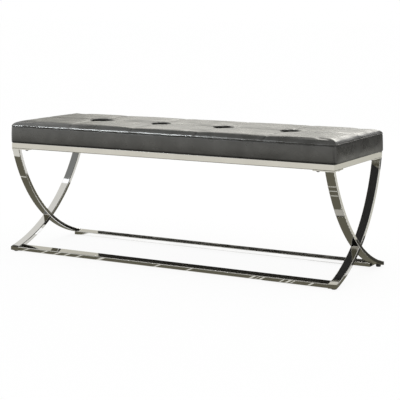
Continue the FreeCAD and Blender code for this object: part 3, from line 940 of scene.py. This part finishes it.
painted_shade_values = painted_shade_amount(vertex_values(cushion, "co"))
painted_shade = cushion.data.attributes.new("painted_shade", "FLOAT", "POINT")
painted_shade.data.foreach_set("value", painted_shade_values.astype(np.float32))
print("deep in a crease:", int((painted_shade_values > 0.5).sum()), "of", len(painted_shade_values), "points")
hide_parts("seat_top_cover", "seat_side_cover", "seat_foam")

# %% [markdown]
# Thread shows below the seam of the band and along the panel seams. Each stitch is a short rounded bar
# that dips into the leather at both ends. The stitches are laid on the finished cushion by looking for
# its surface with a ray, so that none floats.

# %% Stitches
surface = BVHTree.FromObject(cushion, bpy.context.evaluated_depsgraph_get())
stitch_step = 0.0063
stitch_length = 0.0048


def skin(form, rings):
    """Faces from each ring of points to the next."""
    for lower, upper in zip(rings, rings[1:]):
        for corner in range(len(lower)):
            after = (corner + 1) % len(lower)
            form.faces.new((lower[corner], lower[after], upper[after], upper[corner]))


def stitch_mesh(form, middle, along, out, length, thickness):
    """One stitch: a bar of six sides with four rings, its ends lower than its middle."""
    side = along.cross(out).normalized()
    rings = []
    for at, drop, size in ((-0.5, 0.9, 0.55), (-0.25, 0.1, 1.0), (0.25, 0.1, 1.0), (0.5, 0.9, 0.55)):
        ring = []
        for corner in range(6):
            turn = corner * math.pi / 3
            spot = middle + along * at * length - out * drop * thickness
            spot = spot + (side * math.cos(turn) + out * math.sin(turn) * 0.8) * thickness * size
            ring.append(form.verts.new(spot))
        rings.append(ring)
    skin(form, rings)
    form.faces.new(list(reversed(rings[0])))
    form.faces.new(rings[-1])


def band_outline(spacing):
    """Points on the band's outline, walked in even steps, each with the way onward."""
    reach_x = half_length - corner_round
    reach_y = half_depth - corner_round
    corners = [(1, -1, -90), (1, 1, 0), (-1, 1, 90), (-1, -1, 180)]
    spots = []
    for side_x, side_y, first in corners:
        for turn in range(0, 91, 10):
            angle = math.radians(first + turn)
            out = Vector((math.cos(angle), math.sin(angle), 0))
            spots.append(Vector((side_x * reach_x, side_y * reach_y, 0)) + out * corner_round)
    spots.append(spots[0])
    even = []
    left = 0.0
    for a, b in zip(spots, spots[1:]):
        run = (b - a).length
        way = (b - a).normalized()
        while left < run:
            even.append((a + way * left, way))
            left += spacing
        left -= run
    return even


def band_surface(spot, way, height):
    """Where a ray from outside meets the band at one height, and the direction out of it."""
    out = Vector((way.y, -way.x, 0))
    return surface.ray_cast(spot + out * 0.03 + Vector((0, 0, height)), -out)[:2]


def band_stitches(height, thickness):
    """A row of stitches round the band at one height."""
    form = bmesh.new()
    for spot, way in band_outline(stitch_step):
        hit, normal = band_surface(spot, way, height)
        if hit is not None:
            stitch_mesh(form, hit + normal * thickness * 0.4, way, normal, stitch_length, thickness)
    return form


def piece_from(form, name, material):
    """A piece of the bench from a finished form."""
    mesh = bpy.data.meshes.new(name)
    form.to_mesh(mesh)
    form.free()
    print(name, len(mesh.vertices), "points")
    return add_piece(name, mesh, material)


piece_from(band_stitches(side_seam - 0.003, 0.00045), "band_stitches", thread)

# %% [markdown]
# The seam itself stands out as a thin puckered roll, because the top is gathered a little where it is
# sewn on. It is a tube laid on the surface, that wanders slightly and is thicker between the gathers than
# at them.

# %% The rolled seam
def band_welt(height, spacing, radius):
    """A thin tube round the band whose thickness swells and shrinks."""
    form = bmesh.new()
    rings = []
    for number, (spot, way) in enumerate(band_outline(spacing)):
        walk = number * spacing
        level = height + 0.0006 * math.sin(walk * 31) + 0.0005 * math.sin(walk * 73 + 2)
        hit, normal = band_surface(spot, way, level)
        beat = abs(math.cos(math.pi * (walk / puff_step + 0.35 * math.sin(walk * 23))))
        thick = radius * (0.75 + 0.25 * beat ** 0.7)
        side = way.cross(normal).normalized()
        ring = []
        for corner in range(8):
            turn = corner * math.pi / 4
            ring.append(form.verts.new(hit + (side * math.cos(turn) + normal * math.sin(turn)) * thick))
        rings.append(ring)
    skin(form, rings + rings[:1])
    bmesh.ops.recalc_face_normals(form, faces=form.faces)
    return form


welt = piece_from(band_welt(side_seam - 0.0005, 0.002, 0.0013), "band_welt", leather)

# %% [markdown]
# The panel seams get the same stitches, laid from above. They stop short of the edges and leave the tufts
# free.

# %% Panel stitches
def seam_stitches(form, a, b, thickness):
    """A row of stitches down a panel seam, laid from above, leaving the tufts free."""
    way = (b - a).normalized()
    count = int((b - a).length / stitch_step)
    for step in range(count):
        spot = a + way * (step + 0.5) * stitch_step
        if min(math.hypot(spot.x - x, spot.y - y) for x, y in tufts) < 0.02:
            continue
        hit, normal = surface.ray_cast(spot + Vector((0, 0, 0.6)), Vector((0, 0, -1)))[:2]
        if hit is not None:
            lie = (way - normal * way.dot(normal)).normalized()
            stitch_mesh(form, hit + normal * thickness * 0.3, lie, normal, stitch_length, thickness)


rows = bmesh.new()
x_end = half_length - 0.015
y_end = half_depth - 0.015
panel_thread = 0.0004
for x in cross_seams:
    seam_stitches(rows, Vector((x, -y_end, 0)), Vector((x, y_end, 0)), panel_thread)
seam_stitches(rows, Vector((-x_end, 0, 0)), Vector((x_end, 0, 0)), panel_thread)
piece_from(rows, "panel_stitches", thread)

# %% [markdown]
# Buttons pull the tufts down. Each is a small dome wrapped in the same leather, which gathers into pleats
# under its rim. A net of rings gives the dome, and a wave round the rim gives the pleats.

# %% Buttons
def button_rings(form, middle, radius, height, pleats, phase):
    """A covered button as rings of points round the upright axis."""
    around = 48
    outline = [(0.80, -0.25), (0.97, -0.05), (1.0, 0.18), (0.95, 0.42), (0.82, 0.66), (0.6, 0.85),
               (0.33, 0.96), (0.12, 1.0)]
    rings = []
    for level, (wide, tall) in enumerate(outline):
        ring = []
        for step in range(around):
            turn = 2 * math.pi * step / around
            gather = 0.035 * math.cos(pleats * turn + phase) * max(0.0, 1 - level / 3)
            spot = Vector((math.cos(turn), math.sin(turn), 0)) * radius * (wide + gather)
            ring.append(form.verts.new(middle + spot + Vector((0, 0, height * tall))))
        rings.append(ring)
    skin(form, rings)
    form.faces.new(rings[-1])
    form.faces.new(list(reversed(rings[0])))


form = bmesh.new()
for number, (x, y) in enumerate(tufts):
    seat = Vector((x, y, tuft_floor + 0.001))
    button_rings(form, seat, radius=0.011, height=0.005, pleats=15, phase=number * 1.7)
buttons = piece_from(form, "covered_buttons", leather)
# the buttons get painted shade too, as if shaded in their pits
button_painted_shade = buttons.data.attributes.new("painted_shade", "FLOAT", "POINT")
painted_pit_shade = 0.55
button_painted_shade.data.foreach_set("value", np.full(len(buttons.data.vertices), painted_pit_shade, np.float32))
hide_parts("tuft_buttons")

# %% [markdown]
# Under the seat the dust cloth is fixed with wire staples, a few centimetres apart and never quite in
# line. Each is three bevelled bars, and small random shifts and turns keep the rows from looking drawn
# with a ruler.

# %% Staples
def staple(form, middle, along):
    """A flat bridge of wire with two short legs that go up into the board."""
    wire = 0.0004
    half = 0.0052
    leg = 0.0014
    for part_low, part_high in ((Vector((-half, -wire, -wire)), Vector((half, wire, wire))),
                                (Vector((-half, -wire, -wire)), Vector((wire * 2 - half, wire, leg))),
                                (Vector((half - wire * 2, -wire, -wire)), Vector((half, wire, leg)))):
        centre = (part_low + part_high) / 2
        size = part_high - part_low
        turn = Matrix.Rotation(along, 4, "Z")
        place = Matrix.Translation(middle) @ turn @ Matrix.Translation(centre) @ Matrix.Diagonal((*size, 1))
        made = bmesh.ops.create_cube(form, size=1, matrix=place)
        edges = list({edge for vertex in made["verts"] for edge in vertex.link_edges})
        bmesh.ops.bevel(form, geom=edges, offset=wire * 0.4, segments=1, affect="EDGES")


cloth_low, cloth_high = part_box("dust_cover")
form = bmesh.new()
inset = 0.012
first = 0.03
step = 0.046
stray = 0.003
askew = 0.3
level = cloth_low.z - 0.0002
for side in (-1, 1):
    for x in np.arange(cloth_low.x + first, cloth_high.x, step):
        spot = Vector((x, side * (cloth_high.y - inset + draw.uniform(-stray, stray)), level))
        staple(form, spot, draw.uniform(-askew, askew))
    for y in np.arange(cloth_low.y + first, cloth_high.y, step):
        spot = Vector((side * (cloth_high.x - inset + draw.uniform(-stray, stray)), y, level))
        staple(form, spot, math.pi / 2 + draw.uniform(-askew, askew))
piece_from(form, "dust_cloth_staples", zinc)
